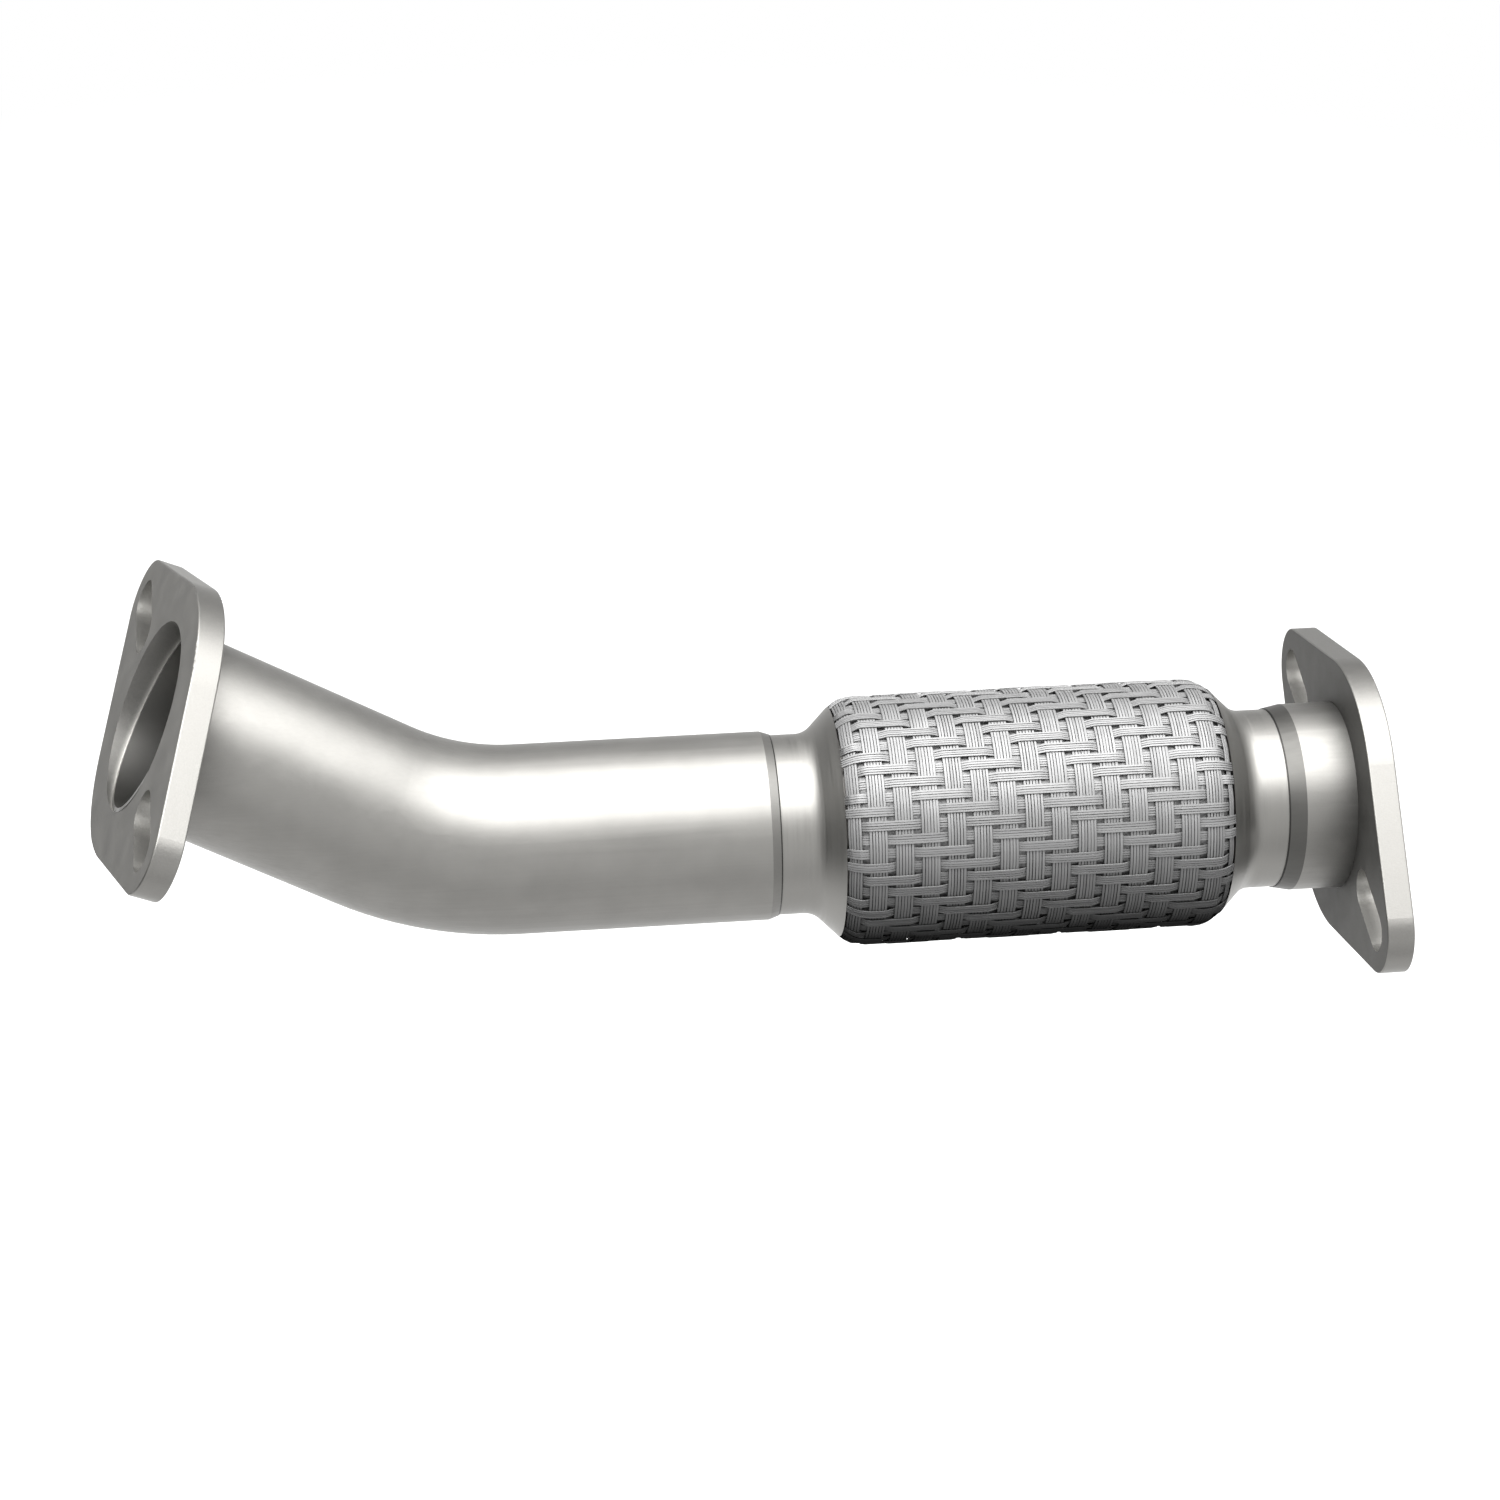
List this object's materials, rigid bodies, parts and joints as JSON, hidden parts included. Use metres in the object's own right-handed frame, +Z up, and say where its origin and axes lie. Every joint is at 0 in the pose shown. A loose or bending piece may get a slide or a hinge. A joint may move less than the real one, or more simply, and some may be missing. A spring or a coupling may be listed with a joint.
{
  "type": "exhaust front pipe",
  "caption": "Bent exhaust front pipe with a braided flexible section and a two-bolt slotted flange at each end.",
  "frame": {"origin": "centre of the rear flange's gasket face", "axes": "+X along the flexible section, out of the rear flange; +Y along the rear bolt line; +Z up, the side the bent leg rises to"},
  "size_m": [0.4471, 0.1723, 0.1472],
  "materials": {
    "tube_steel": "aluminised steel tube, satin",
    "flange_steel": "laser-cut mild steel plate, dull faces and bright cut edges",
    "braid_steel": "bright stainless wire strips",
    "inner_steel": "stainless sheet, dull"
  },
  "bodies": {
    "root": {"front_flange": "flange_steel", "front_pipe": "tube_steel", "front_collar": "tube_steel", "front_end_ring": "inner_steel", "interlock_liner": "inner_steel", "bellows": "inner_steel", "outer_braid": "braid_steel", "rear_end_ring": "inner_steel", "rear_collar": "tube_steel", "rear_stub": "tube_steel", "rear_flange": "flange_steel"}
  },
  "joints": []
}
